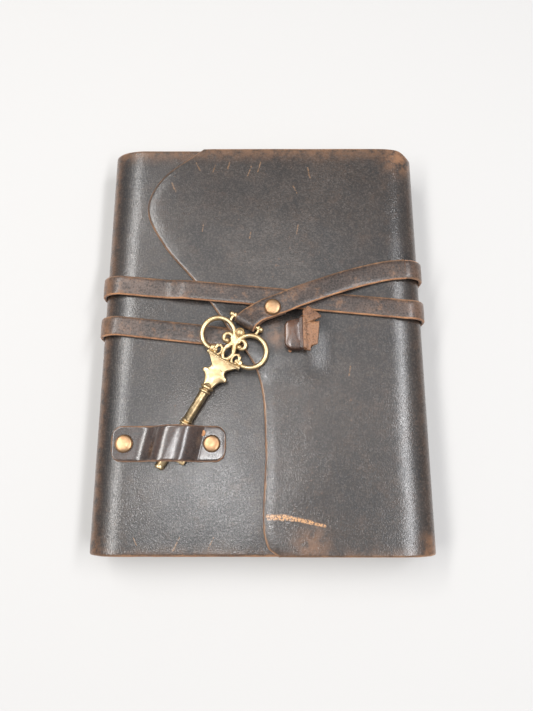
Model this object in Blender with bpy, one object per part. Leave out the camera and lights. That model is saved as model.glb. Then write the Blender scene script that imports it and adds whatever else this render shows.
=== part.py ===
"""Wrap-around leather notebook cover, closed by a strap and a brass key.

The cover lies on its back with its spine at -X, its fore edge at +X and its head at +Y. The hide runs
back cover, fore edge, flap on the right and back cover, spine, front cover on the left. Lengths are in
millimetres here and are turned into metres when a mesh is made.
"""

import math

import bmesh
import bpy
from mathutils import Matrix, Vector

MM = 0.001
GAP = 0.3

# The hide
HALF_WIDTH = 79.0
HALF_HEIGHT = 101.5
LEATHER = 1.8
FOLD_RADIUS = 8.5
FOLD_X = HALF_WIDTH - FOLD_RADIUS
SPINE_SPLIT = 20.0
FRONT_COVER_EDGE_X = FOLD_X - 0.7

# The strap
STRAP_WIDTH = 9.5
STRAP = 1.6
LOOP_LAYER = 1.45
LOOP_WIDTH = 10.5
LOOP_TAPER = 1.03

# Heights, from the surface that the strap's back runs lie on
BACK_BOTTOM = STRAP + GAP
BACK_TOP = BACK_BOTTOM + LEATHER
PAGES_BOTTOM = BACK_TOP + GAP
FRONT_BOTTOM = 21.0
FRONT_TOP = FRONT_BOTTOM + LEATHER
FLAP_BOTTOM = FRONT_TOP + GAP
FLAP_TOP = FLAP_BOTTOM + LEATHER
ON_FRONT = FRONT_TOP + GAP + STRAP / 2
ON_FLAP = FLAP_TOP + GAP + STRAP / 2
SLIT_RISE = STRAP + GAP

# The text block
SIGNATURES = 5
SIGNATURE = 2.85
TURNED = (4, 5)
PAGE_HALF_HEIGHT = 95.5
PAGE_EDGE_X = 67.5
SPINE_FOLDS = (-71.0, -71.4, -71.6, -71.4, -71.1)
THREAD_RADIUS = 0.45
STITCH_HALF_LENGTH = 82.0

# Where the strap crosses each side of the book, from the tail to the head
FIRST_LEFT_Y = 4.8
FIRST_RIGHT_Y = 12.4
SECOND_LEFT_Y = 25.7
SECOND_RIGHT_Y = 33.2
SLIT = Vector((13.2, -4.5))
STRAP_RIVET = Vector((4.9, 11.6))
LOOP_START = Vector((9.6, 14.1))
LOOP_LOW = 29.1
LOOP_HIGH = 30.9

# The key, along its own -Y from the bar that the strap goes round
KEY_BAR = Vector((-7.5, 4.8, 30.1))
KEY_TURN = -30.3
KEY_TILT = 3.48
KEY_LENGTH = 79.0
SHAFT_RADIUS = 2.2

# The key holder
HOLDER_LEFT = -69.6
HOLDER_RIGHT = -17.0
HOLDER_Y = -52.1
HOLDER_HALF_WIDTH = 8.0
HOLDER_CORNER = 4.7
HOLDER_RIVET_LEFT_X = -63.6
HOLDER_RIVET_RIGHT_X = -23.2
RIVET_RADIUS = 4.0
POST_RADIUS = 1.3
HOLE_RADIUS = 1.7

# Hinge lines
COVER_HINGE = Vector((
    -FOLD_X - (FOLD_RADIUS + 0.2) * math.cos(math.radians(SPINE_SPLIT)),
    0.0,
    FRONT_TOP - FOLD_RADIUS + (FOLD_RADIUS + 0.2) * math.sin(math.radians(SPINE_SPLIT)),
))
FLAP_HINGE = Vector((FOLD_X, 0.0, FLAP_TOP + 0.2))
FORE_EDGE_HINGE = Vector((FOLD_X, 0.0, BACK_BOTTOM - 0.2))
PAGES_HINGE = Vector((-FOLD_X + 0.5, 0.0, FRONT_BOTTOM - 0.2))
ORIGIN = Vector((0.0, 0.0, 0.0))

COLOURS = {
    "hide": ((0.045, 0.038, 0.036), 0.42, 0.0),
    "strap_leather": ((0.10, 0.060, 0.042), 0.55, 0.0),
    "holder_leather": ((0.050, 0.036, 0.032), 0.35, 0.0),
    "paper": ((0.78, 0.70, 0.55), 0.85, 0.0),
    "thread": ((0.62, 0.53, 0.38), 0.8, 0.0),
    "brass": ((0.62, 0.43, 0.17), 0.32, 1.0),
    "rivet_brass": ((0.68, 0.50, 0.26), 0.25, 1.0),
}


def clear_scene():
    for ob in list(bpy.data.objects):
        bpy.data.objects.remove(ob, do_unlink=True)


def material(name, slot):
    colour, roughness, metallic = COLOURS[slot]
    mat = bpy.data.materials.new(name)
    mat.use_nodes = True
    shader = mat.node_tree.nodes["Principled BSDF"]
    shader.inputs["Base Color"].default_value = (*colour, 1.0)
    shader.inputs["Roughness"].default_value = roughness
    shader.inputs["Metallic"].default_value = metallic
    return mat


def make(name, verts, faces, slot=None, origin=ORIGIN):
    """An object from points in world millimetres, with its origin at a place of its own."""
    mesh = bpy.data.meshes.new(name)
    mesh.from_pydata([tuple((Vector(v) - origin) * MM) for v in verts], [], faces)
    bm = bmesh.new()
    bm.from_mesh(mesh)
    bmesh.ops.recalc_face_normals(bm, faces=bm.faces)
    bm.to_mesh(mesh)
    bm.free()
    mesh.shade_smooth()
    mesh.set_sharp_from_angle(angle=math.radians(35))
    ob = bpy.data.objects.new(name, mesh)
    ob.location = origin * MM
    bpy.context.scene.collection.objects.link(ob)
    if slot:
        mesh.materials.append(material(name, slot))
    return ob


def skin(sections):
    """Points and faces of a bar through sections with equal numbers of points, closed at both ends."""
    count = len(sections[0])
    verts = [v for section in sections for v in section]
    faces = [tuple(reversed(range(count)))]
    for i in range(len(sections) - 1):
        a, b = i * count, (i + 1) * count
        for j in range(count):
            k = (j + 1) % count
            faces.append((a + j, a + k, b + k, b + j))
    faces.append(tuple(range((len(sections) - 1) * count, len(sections) * count)))
    return verts, faces


def extrude(outline, low, high, place):
    """A flat outline pushed from low to high, where place turns (u, v, height) into a point."""
    return skin([[place(u, v, h) for u, v in outline] for h in (low, high)])


def arc(centre, radius, start, end, steps):
    """Points on an arc, with angles in degrees."""
    angles = [math.radians(start + (end - start) * i / steps) for i in range(steps + 1)]
    return [(centre[0] + radius * math.cos(a), centre[1] + radius * math.sin(a)) for a in angles]


def turned(profile, centre, steps=24, matrix=None):
    """A round solid about +Z from (radius, height) pairs that start and end on the axis."""
    rings = [(r, z) for r, z in profile if r > 0]
    verts = []
    for r, z in rings:
        for x, y in arc((0, 0), r, 0, 360 - 360 / steps, steps - 1):
            verts.append(Vector((x, y, z)))
    faces = [tuple(reversed(range(steps)))]
    for i in range(len(rings) - 1):
        for j in range(steps):
            k = (j + 1) % steps
            a, b = i * steps, (i + 1) * steps
            faces.append((a + j, a + k, b + k, b + j))
    faces.append(tuple(range((len(rings) - 1) * steps, len(rings) * steps)))
    move = Matrix.Translation(centre) @ (matrix or Matrix.Identity(4))
    return [move @ v for v in verts], faces


def in_xz(u, v, h):
    return Vector((u, h, v))


def in_xy(u, v, h):
    return Vector((u, v, h))


def cut(ob, shape, name, operation="DIFFERENCE"):
    """Cuts a shape out of an object, or joins it on, with a hidden helper."""
    helper = make(name, *shape)
    helper.hide_render = True
    helper.display_type = "WIRE"
    modifier = ob.modifiers.new(name, "BOOLEAN")
    modifier.operation = operation
    modifier.solver = "EXACT"
    modifier.object = helper


def drill(ob, x, y, low, high, radius=HOLE_RADIUS):
    hole = turned([(radius, low), (radius, high)], Vector((x, y, 0)), 16)
    cut(ob, hole, f"{ob.name}.hole.{len(ob.modifiers) + 1}")


# The hide


def fold_outline(side, top, upper_end):
    """The section of a round fold in X and Z: out along its outer face and back along its inner face."""
    low, high = BACK_BOTTOM + FOLD_RADIUS, top - FOLD_RADIUS
    end_x = FOLD_X + GAP / 2
    points = []
    for radius, turn in ((FOLD_RADIUS, 1), (FOLD_RADIUS - LEATHER, -1)):
        lower = [(end_x, low - radius)] + arc((FOLD_X, low), radius, -84, 0, 8)
        upper = arc((FOLD_X, high), radius, 0, upper_end, 8)
        points += (lower + upper)[::turn]
    return [(side * x, z) for x, z in points]


def front_outline():
    """The front cover's section: the upper part of the spine fold, then the flat panel."""
    centre = (FOLD_X, FRONT_TOP - FOLD_RADIUS)
    start = SPINE_SPLIT + math.degrees(GAP / 2 / FOLD_RADIUS)
    outer = [(-x, z) for x, z in arc(centre, FOLD_RADIUS, start, 90, 8)]
    inner = [(-x, z) for x, z in arc(centre, FOLD_RADIUS - LEATHER, 90, start, 8)]
    right = FRONT_COVER_EDGE_X
    return outer + [(right, FRONT_TOP), (right, FRONT_BOTTOM)] + inner


def make_hide():
    long = (-HALF_HEIGHT, HALF_HEIGHT, in_xz)
    side = FOLD_X - GAP / 2
    back = [(-side, BACK_BOTTOM), (side, BACK_BOTTOM), (side, BACK_TOP), (-side, BACK_TOP)]
    make("back_cover", *extrude(back, *long), "hide")
    split = SPINE_SPLIT - math.degrees(GAP / 2 / FOLD_RADIUS)
    make("spine", *extrude(fold_outline(-1, FRONT_TOP, split), *long), "hide")
    fold_end = 90 - math.degrees(GAP / 2 / FOLD_RADIUS)
    make("fore_edge", *extrude(fold_outline(1, FLAP_TOP, fold_end), *long), "hide", FORE_EDGE_HINGE)
    cover = make("front_cover", *extrude(front_outline(), *long), "hide", COVER_HINGE)
    for x in (HOLDER_RIVET_LEFT_X, HOLDER_RIVET_RIGHT_X):
        drill(cover, x, HOLDER_Y, FRONT_BOTTOM - 1, FRONT_TOP + 1)
    make_flap()


def smooth(t):
    t = min(max(t, 0.0), 1.0)
    return t * t * (3 - 2 * t)


def curve_through(points, t):
    """A smooth curve through (place, value) pairs, read at place t."""
    i = 0
    while i < len(points) - 2 and t > points[i + 1][0]:
        i += 1
    (t0, a), (t1, b) = points[i], points[i + 1]

    def slope(k):
        low, high = points[max(k - 1, 0)], points[min(k + 1, len(points) - 1)]
        return (high[1] - low[1]) / (high[0] - low[0])

    w, span = (t - t0) / (t1 - t0), t1 - t0
    start = a * (1 + 2 * w) * (1 - w) ** 2 + slope(i) * span * w * (1 - w) ** 2
    return start + b * w * w * (3 - 2 * w) - slope(i + 1) * span * w * w * (1 - w)


# The flap's free edge from the tail to the head, as (y, x)
FREE_EDGE = (
    (-101.5, 7.7),
    (-98.0, 3.0),
    (-88.0, 0.7),
    (-53.0, 1.7),
    (-19.0, -2.0),
    (4.0, -17.0),
    (27.0, -33.0),
    (46.0, -49.0),
    (66.0, -58.6),
    (84.0, -52.0),
    (101.5, -31.0),
)


def first_run_y(x):
    """The middle of the strap's first run, which slants from the slit to the spine."""
    along = (SLIT.x - x) / (SLIT.x + FOLD_X)
    return SLIT.y + (FIRST_LEFT_Y - SLIT.y) * along


def flap_height(x, y):
    """The flap's underside, raised where the strap's first run passes under it."""
    across = 1 - smooth((x - 19.0) / 16.0)
    beside = 1 - smooth((abs(y - first_run_y(x)) - 8.0) / 7.5)
    return FLAP_BOTTOM + SLIT_RISE * across * beside


def make_flap():
    rows = [-101.5, -99.5, -97.0, -93.0] + [-84.0 + 10 * i for i in range(6)]
    rows += [-29.0 + 4 * i for i in range(13)] + [27.0 + 7.5 * i for i in range(10)] + [101.5]
    columns = 18
    right = FOLD_X - GAP / 2
    sheets = [[], []]
    for y in rows:
        edge = curve_through(FREE_EDGE, y)
        for i in range(columns + 1):
            x = edge + (right - edge) * i / columns
            z = flap_height(x, y)
            sheets[0].append(Vector((x, y, z)))
            sheets[1].append(Vector((x, y, z + LEATHER)))
    wide, count = columns + 1, len(rows) * (columns + 1)
    faces = []
    for r in range(len(rows) - 1):
        for c in range(columns):
            a, b = r * wide + c, (r + 1) * wide + c
            faces.append((a, b, b + 1, a + 1))
            faces.append((a + count, a + 1 + count, b + 1 + count, b + count))
    rim = list(range(wide)) + [r * wide + columns for r in range(1, len(rows))]
    rim += [(len(rows) - 1) * wide + c for c in range(columns - 1, -1, -1)]
    rim += [r * wide for r in range(len(rows) - 2, 0, -1)]
    for a, b in zip(rim, rim[1:] + rim[:1]):
        faces.append((a, b, b + count, a + count))
    flap = make("flap", sheets[0] + sheets[1], faces, "hide", FLAP_HINGE)
    half = STRAP_WIDTH / 2 + 0.5
    slit = [(11.7, SLIT.y - half), (14.4, SLIT.y - half), (14.4, SLIT.y + half), (11.7, SLIT.y + half)]
    cut(flap, extrude(slit, FLAP_BOTTOM - 1, FLAP_TOP + 4, in_xy), "flap.slit")


# The text block


def make_signatures():
    for i in range(SIGNATURES):
        low = PAGES_BOTTOM + i * (SIGNATURE + GAP)
        half = SIGNATURE / 2
        fold = arc((SPINE_FOLDS[i] + half, low + half), half, 90, 270, 10)
        outline = fold + [(PAGE_EDGE_X, low), (PAGE_EDGE_X, low + SIGNATURE)]
        origin = PAGES_HINGE if i + 1 in TURNED else ORIGIN
        name = f"signature_{i + 1}"
        make(name, *extrude(outline, -PAGE_HALF_HEIGHT, PAGE_HALF_HEIGHT, in_xz), "paper", origin)


def make_threads():
    """A long stitch lies along the fold of each signature."""
    for i in range(SIGNATURES):
        x = SPINE_FOLDS[i] - GAP - THREAD_RADIUS
        z = PAGES_BOTTOM + i * (SIGNATURE + GAP) + SIGNATURE / 2
        outline = arc((x, z), THREAD_RADIUS, 0, 315, 7)
        origin = PAGES_HINGE if i + 1 in TURNED else ORIGIN
        name = f"sewing_thread_{i + 1}"
        make(name, *extrude(outline, -STITCH_HALF_LENGTH, STITCH_HALF_LENGTH, in_xz), "thread", origin)


# The strap


def ribbon(points, normals, width, thickness):
    """A flat strip through points on its middle surface, with the way that its face looks at each."""
    sections = []
    for i, point in enumerate(points):
        along = (points[min(i + 1, len(points) - 1)] - points[max(i - 1, 0)]).normalized()
        across = normals[i].cross(along).normalized()
        up = along.cross(across) * thickness / 2
        across *= width / 2
        sections.append([point - across - up, point + across - up, point + across + up, point - across + up])
    return skin(sections)


def turn_path(side, y, top):
    """The middle surface of a strap round one side of the book, from its top run to its back run."""
    radius = FOLD_RADIUS + GAP + STRAP / 2
    upper = arc((FOLD_X, top - FOLD_RADIUS - GAP - STRAP / 2), radius, 90, 0, 8)
    lower = arc((FOLD_X, BACK_BOTTOM + FOLD_RADIUS), radius, 0, -90, 8)
    angles = [90 - 90 * i / 8 for i in range(9)] + [-90 * i / 8 for i in range(9)]
    points = [Vector((side * x, y, z)) for x, z in upper + lower]
    normals = [Vector((side * math.cos(math.radians(a)), 0, math.sin(math.radians(a)))) for a in angles]
    return points, normals


def make_strap_start():
    bend = STRAP / 2 + 0.4
    up = Vector((0, 0, 1))
    points = [Vector((SLIT.x, SLIT.y, ON_FLAP + 0.8))]
    normals = [Vector((-1, 0, 0))]
    for x, z in arc((SLIT.x - bend, ON_FRONT + bend), bend, 0, -90, 4):
        points.append(Vector((x, SLIT.y, z)))
        normals.append(Vector((SLIT.x - bend - x, 0, ON_FRONT + bend - z)).normalized())
    for x in (6.0, -10.0, -30.0, -50.0):
        points.append(Vector((x, first_run_y(x), ON_FRONT)))
        normals.append(up)
    round_spine = turn_path(-1, FIRST_LEFT_Y, ON_FRONT)
    shape = ribbon(points + round_spine[0], normals + round_spine[1], STRAP_WIDTH, STRAP)
    make("strap_start", *shape, "strap_leather", FLAP_HINGE)


def second_run_height(x):
    """The second run lies on the flap and steps down to the front cover past the flap's free edge."""
    return ON_FLAP + (ON_FRONT - ON_FLAP) * smooth((-37.0 - x) / 11.0)


def make_strap_middle():
    points, steps = [], 14
    start = FOLD_X - 0.5
    for i in range(steps):
        x = start - (start + FOLD_X) * i / steps
        along = (start - x) / (start + FOLD_X)
        y = FIRST_RIGHT_Y + (SECOND_LEFT_Y - FIRST_RIGHT_Y) * along
        points.append(Vector((x, y, second_run_height(x))))
    normals = [Vector((0, 0, 1))] * len(points)
    round_spine = turn_path(-1, SECOND_LEFT_Y, ON_FRONT)
    shape = ribbon(points + round_spine[0], normals + round_spine[1], STRAP_WIDTH, STRAP)
    make("strap_middle", *shape, "strap_leather", FLAP_HINGE)


def make_strap_end():
    """The last run, down from the fore edge to the loop's rivet, over the second run."""
    route = ((FOLD_X - 0.5, 33.2, 0.0), (62.0, 32.4, 0.0), (51.0, 29.8, 0.5), (40.0, 26.2, 2.2))
    route += ((30.0, 22.5, 3.4), (21.0, 19.0, 4.3), (15.6, 16.8, 4.9), (10.4, 14.5, 4.9))
    points = [Vector((x, y, ON_FLAP + rise)) for x, y, rise in route]
    shape = ribbon(points, [Vector((0, 0, 1))] * len(points), STRAP_WIDTH, STRAP)
    make("strap_end", *shape, "strap_leather", COVER_HINGE)


def make_strap_turns():
    for name, y in (("strap_turn_lower", FIRST_RIGHT_Y), ("strap_turn_upper", SECOND_RIGHT_Y)):
        points, normals = turn_path(1, y, ON_FLAP)
        for end in (0, -1):
            points[end] = points[end] + Vector((GAP / 2, 0, 0))
        make(name, *ribbon(points, normals, STRAP_WIDTH, STRAP), "strap_leather", FORE_EDGE_HINGE)


def make_strap_backs():
    end = FOLD_X - 0.5
    for name, left, right in (
        ("strap_back_lower", FIRST_LEFT_Y, FIRST_RIGHT_Y),
        ("strap_back_upper", SECOND_LEFT_Y, SECOND_RIGHT_Y),
    ):
        points = [Vector((-end, left, STRAP / 2)), Vector((end, right, STRAP / 2))]
        make(name, *ribbon(points, [Vector((0, 0, -1))] * 2, STRAP_WIDTH, STRAP), "strap_leather")


def loop_line():
    """The key's bar and its upward way, and how far along it and aside the loop starts."""
    turn = Matrix.Rotation(math.radians(KEY_TURN), 2)
    bar, way = turn @ Vector((1, 0)), turn @ Vector((0, 1))
    start = LOOP_START - KEY_BAR.xy
    return bar, way, start.dot(way), start.dot(bar)


def loop_place(q):
    """The point at a distance along the loop, which bends to meet the bar squarely, and the way across."""
    bar, way, reach, aside = loop_line()
    heading = -(LOOP_START - KEY_BAR.xy).normalized()
    square = Vector((-heading.y, heading.x))
    turn = smooth((q - 5.5) / (reach - 8.5))
    across = square * (1 - turn) + bar * turn * LOOP_TAPER
    return KEY_BAR.xy + way * (reach - q) + bar * aside * max(1 - q / reach, 0.0) ** 1.5, across


def make_key_loop():
    reach = loop_line()[2]
    radius = 1.0 + 0.35 + LOOP_LAYER / 2
    path = [(0.0, LOOP_LOW), (4.0, LOOP_LOW), (8.0, LOOP_LOW), (10.0, LOOP_LOW), (reach - 4.0, 28.6)]
    path += arc((reach, KEY_BAR.z), radius, -110, 110, 12)
    path += [(reach - 4.0, 31.7), (10.0, LOOP_HIGH + 0.2)]
    path += [(8.0, LOOP_HIGH), (4.0, LOOP_HIGH), (0.0, LOOP_HIGH)]
    sections = []
    for i, (s, z) in enumerate(path):
        before, after = path[max(i - 1, 0)], path[min(i + 1, len(path) - 1)]
        along = Vector((after[0] - before[0], after[1] - before[1])).normalized()
        out = Vector((along.y, -along.x)) * LOOP_LAYER / 2
        section = []
        for side, edges in ((-1, (-1, 1)), (1, (1, -1))):
            point, across = loop_place(s + side * out.x)
            for edge in edges:
                section.append(Vector((*(point + across * edge * LOOP_WIDTH / 2), z + side * out.y)))
        sections.append(section)
    origin = Vector((*STRAP_RIVET, LOOP_HIGH))
    loop = make("strap_key_loop", *skin(sections), "strap_leather", origin)
    drill(loop, STRAP_RIVET.x, STRAP_RIVET.y, LOOP_LOW - 2, LOOP_HIGH + 2)


def make_knot():
    """The folded knot: a wide pad with a narrower fold standing across it."""
    low = ON_FLAP + 1.1
    pad = [(9.8, -7.5), (13.0, -9.8), (24.5, -9.0), (27.3, -5.0), (27.6, 7.2), (21.6, 11.8), (18.4, 7.6)]
    pad += [(11.0, 6.2), (9.8, 3.6)]
    knot = make("strap_knot", *extrude(pad, low, low + 4.6, in_xy), "strap_leather", FLAP_HINGE)
    fold = [(14.6, -8.6), (18.8, -9.0), (21.4, 7.4), (17.0, 6.4)]
    cut(knot, extrude(fold, low + 2.0, low + 6.2, in_xy), "strap_knot.fold", "UNION")
    bevel = knot.modifiers.new("round", "BEVEL")
    bevel.width = 0.8 * MM
    bevel.segments = 2


# Rivets


def make_rivet(stem, x, y, leather_top, leather_bottom, origin, radius):
    top = leather_top + GAP
    dome = [(POST_RADIUS, leather_bottom), (POST_RADIUS, top), (radius - 0.3, top), (radius, top + 0.4)]
    dome += [(radius - 0.4, top + 1.0), (radius * 0.65, top + 1.5), (radius * 0.3, top + 1.7)]
    make(f"{stem[0]}", *turned(dome, Vector((x, y, 0))), "rivet_brass", origin)
    base = leather_bottom - GAP
    disc = [(radius - 0.6, base - 0.95), (radius - 0.3, base - 0.5), (radius - 0.4, base)]
    make(f"{stem[1]}", *turned(disc, Vector((x, y, 0))), "rivet_brass", origin)


def make_rivets():
    names = ("strap_rivet_cap", "strap_rivet_base")
    low, high = LOOP_LOW - LOOP_LAYER / 2, LOOP_HIGH + LOOP_LAYER / 2
    make_rivet(names, *STRAP_RIVET, high, low, Vector((*STRAP_RIVET, LOOP_HIGH)), RIVET_RADIUS)
    for side, x, radius in (
        ("left", HOLDER_RIVET_LEFT_X, RIVET_RADIUS + 0.2),
        ("right", HOLDER_RIVET_RIGHT_X, RIVET_RADIUS),
    ):
        names = (f"holder_rivet_cap_{side}", f"holder_rivet_base_{side}")
        make_rivet(names, x, HOLDER_Y, FLAP_TOP, FRONT_BOTTOM, COVER_HINGE, radius)


# The key holder


def make_holder():
    flat = FLAP_BOTTOM
    rise = ((-57.5, 0.0), (-54.0, 0.5), (-51.0, 2.1), (-48.3, 4.7), (-45.5, 6.3), (-41.0, 6.8))
    rise += ((-36.5, 6.6), (-33.6, 5.4), (-31.0, 3.0), (-28.9, 0.8), (-27.4, 0.0))
    arch = [(x, flat + lift) for x, lift in rise]
    xs = [HOLDER_LEFT + HOLDER_CORNER * (1 - math.cos(math.radians(15 * i))) for i in range(7)]
    line = [(x, flat) for x in xs] + arch
    line += [(HOLDER_RIGHT - (x - HOLDER_LEFT), flat) for x in reversed(xs)]
    sections = []
    for i, (x, z) in enumerate(line):
        before, after = line[max(i - 1, 0)], line[min(i + 1, len(line) - 1)]
        along = Vector((after[0] - before[0], after[1] - before[1])).normalized()
        out = Vector((-along.y, along.x)) * LEATHER
        inset = min(x - HOLDER_LEFT, HOLDER_RIGHT - x)
        half = HOLDER_HALF_WIDTH
        if inset < HOLDER_CORNER:
            half += math.sqrt(HOLDER_CORNER**2 - (HOLDER_CORNER - inset) ** 2) - HOLDER_CORNER
        corners = [(x, -half, z), (x, half, z), (x + out.x, half, z + out.y), (x + out.x, -half, z + out.y)]
        sections.append([Vector((a, HOLDER_Y + b, c)) for a, b, c in corners])
    holder = make("key_holder", *skin(sections), "holder_leather", COVER_HINGE)
    for x in (HOLDER_RIVET_LEFT_X, HOLDER_RIVET_RIGHT_X):
        drill(holder, x, HOLDER_Y, flat - 1, flat + 4)


# The key


def key_matrix():
    turn = Matrix.Rotation(math.radians(KEY_TURN), 4, "Z")
    return Matrix.Translation(KEY_BAR) @ turn @ Matrix.Rotation(math.radians(KEY_TILT), 4, "X")


def ring(centre, radius, tube, stretch=1.0, steps=24, sides=8):
    """A closed ring in the key's plane, longer along the shaft where stretch is over 1."""
    verts, faces = [], []
    for i in range(steps):
        a = 2 * math.pi * i / steps
        for j in range(sides):
            b = 2 * math.pi * j / sides
            r = radius + tube * math.cos(b)
            point = (centre[0] + r * math.cos(a), centre[1] + r * math.sin(a) * stretch)
            verts.append(Vector((*point, tube * math.sin(b))))
            k, m = (i + 1) % steps, (j + 1) % sides
            faces.append((i * sides + j, k * sides + j, k * sides + m, i * sides + m))
    return verts, faces


def rod(profile, axis, centre, steps=16):
    """A round bar from (radius, place) pairs, along the key's X or its shaft."""
    matrix = Matrix.Rotation(math.radians(90), 4, "Y" if axis == "X" else "X")
    return turned(profile, Vector(centre), steps, matrix)


def plate(outline, half_thickness):
    return extrude(outline, -half_thickness, half_thickness, in_xy)


def key_shapes():
    """The key's pieces in its own frame, from its bar at Y = 0 to its tip."""
    tips = [(0.7, -8.2), (1.4, -7.4), (1.4, -6.8), (1.0, -6.2)]
    bar = tips + [(r, -x) for r, x in reversed(tips)]
    yield rod(bar, "X", (0, 0, 0))
    yield turned([(2.4, -1.5), (2.4, 1.5)], Vector((0, -6.1, 0)), 20)
    for side in (-1, 1):
        yield plate([(side * x, y) for x, y in ((6.1, 0.3), (7.6, 0.3), (7.8, -4.4), (6.3, -4.4))], 0.8)
        yield ring((side * 8.7, -11.6), 7.7, 1.15)
        yield ring((side * 5.0, -18.6), 1.6, 0.75, 1.5, 12, 6)
        yield turned([(1.1, -1.3), (1.5, 0.0), (1.1, 1.3)], Vector((side * 2.6, -11.0, 0)), 12)
    yield ring((0, -16.4), 2.2, 0.85, 1.7, 16, 6)
    yield plate([(-1.1, -14), (1.1, -14), (1.1, -5), (-1.1, -5)], 1.1)
    half = [(8.6, -18.6), (8.8, -20.8), (6.0, -22.6), (3.9, -24.8), (4.2, -27.6), (6.2, -28.4)]
    half += [(6.4, -30.2), (4.4, -31.0), (2.8, -33.2), (2.4, -36.8)]
    crown = [(-4.0, -19.9), (0.0, -20.4), (4.0, -19.9)]
    yield plate(half + [(-x, y) for x, y in reversed(half)] + crown, 1.35)
    collars = ((36.2, 3.2), (38.4, 2.9), (54.2, 3.0))
    shaft = [(1.6, 34.4)]
    for place, radius in collars:
        shaft += [(SHAFT_RADIUS, place - 0.7), (radius, place - 0.4), (radius, place + 0.4)]
        shaft += [(SHAFT_RADIUS, place + 0.7)]
    shaft += [(SHAFT_RADIUS, KEY_LENGTH - 0.6), (SHAFT_RADIUS - 0.5, KEY_LENGTH)]
    yield rod(shaft, "Y", (0, 0, 0))
    bit = [(1.0, -66.2), (9.4, -66.2), (9.4, -68.4), (7.4, -68.4), (7.4, -69.9), (9.4, -69.9)]
    yield plate(bit + [(9.4, -72.4), (1.0, -72.4)], 0.95)


def make_key():
    matrix = key_matrix()
    shapes = [([matrix @ v for v in verts], faces) for verts, faces in key_shapes()]
    key = make("key", *shapes[0], "brass", KEY_BAR)
    for number, shape in enumerate(shapes[1:]):
        cut(key, shape, f"key.piece.{number + 1}", "UNION")


def main():
    clear_scene()
    make_hide()
    make_signatures()
    make_threads()
    make_strap_start()
    make_strap_middle()
    make_strap_end()
    make_strap_turns()
    make_strap_backs()
    make_key_loop()
    make_knot()
    make_rivets()
    make_holder()
    make_key()


main()
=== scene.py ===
"""The looks of the wrap-around leather notebook cover: hide, strap, key, rivets, paper and studio."""

import math
import random

import bmesh
import bpy
from mathutils import Matrix, Vector, noise


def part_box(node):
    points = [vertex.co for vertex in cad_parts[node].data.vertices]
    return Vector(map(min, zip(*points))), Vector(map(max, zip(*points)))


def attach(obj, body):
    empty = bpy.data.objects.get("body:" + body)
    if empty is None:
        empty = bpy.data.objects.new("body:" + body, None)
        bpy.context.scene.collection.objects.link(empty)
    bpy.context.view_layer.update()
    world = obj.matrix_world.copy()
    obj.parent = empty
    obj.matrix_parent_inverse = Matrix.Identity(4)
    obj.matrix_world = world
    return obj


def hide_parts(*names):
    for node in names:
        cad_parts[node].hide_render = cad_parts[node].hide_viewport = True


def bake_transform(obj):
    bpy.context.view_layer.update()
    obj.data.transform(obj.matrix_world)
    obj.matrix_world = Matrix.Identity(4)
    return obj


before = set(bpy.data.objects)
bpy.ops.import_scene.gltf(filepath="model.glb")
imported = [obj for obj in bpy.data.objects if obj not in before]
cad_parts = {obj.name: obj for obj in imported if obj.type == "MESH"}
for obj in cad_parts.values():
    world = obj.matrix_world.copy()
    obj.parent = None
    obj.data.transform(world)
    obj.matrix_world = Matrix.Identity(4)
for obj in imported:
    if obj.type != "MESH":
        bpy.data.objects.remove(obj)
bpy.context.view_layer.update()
MM = 0.001

# Heights and places read from the frame, in millimetres


def box(node):
    low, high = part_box(node)
    return [v / MM for v in low], [v / MM for v in high]


BACK_LOW, BACK_HIGH = box("back_cover")
FRONT_LOW, FRONT_HIGH = box("front_cover")
FORE_LOW, FORE_HIGH = box("fore_edge")
SPINE_LOW, SPINE_HIGH = box("spine")
HALF_HEIGHT = BACK_HIGH[1]
LEATHER = BACK_HIGH[2] - BACK_LOW[2]
FOLD_X = (BACK_HIGH[0] + FORE_LOW[0]) / 2
FOLD_RADIUS = FORE_HIGH[0] - FOLD_X
GAP = 0.3
STRAP = 1.6
STRAP_WIDTH = 9.5
ON_FRONT = FRONT_HIGH[2] + GAP + STRAP / 2
ON_FLAP = FORE_HIGH[2] + GAP + STRAP / 2
SLIT = Vector((13.2, -4.5))
FIRST_LEFT_Y = 4.8
FIRST_RIGHT_Y = 12.4
SECOND_LEFT_Y = 25.7
SECOND_RIGHT_Y = 33.2
LOOP_START = Vector((9.6, 14.1))
LOOP_TAPER = 1.03
LOOP_LAYER = 1.45
LOOP_LOW = 29.1
LOOP_HIGH = 30.9
KEY_BAR = Vector((-7.5, 4.8, 30.1))
KEY_TURN = -30.3
KEY_TILT = 3.48
KEY_LENGTH = 79.0
SHAFT_RADIUS = 2.2
HOLDER_LOW, HOLDER_HIGH = box("key_holder")


# Material helpers


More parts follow.
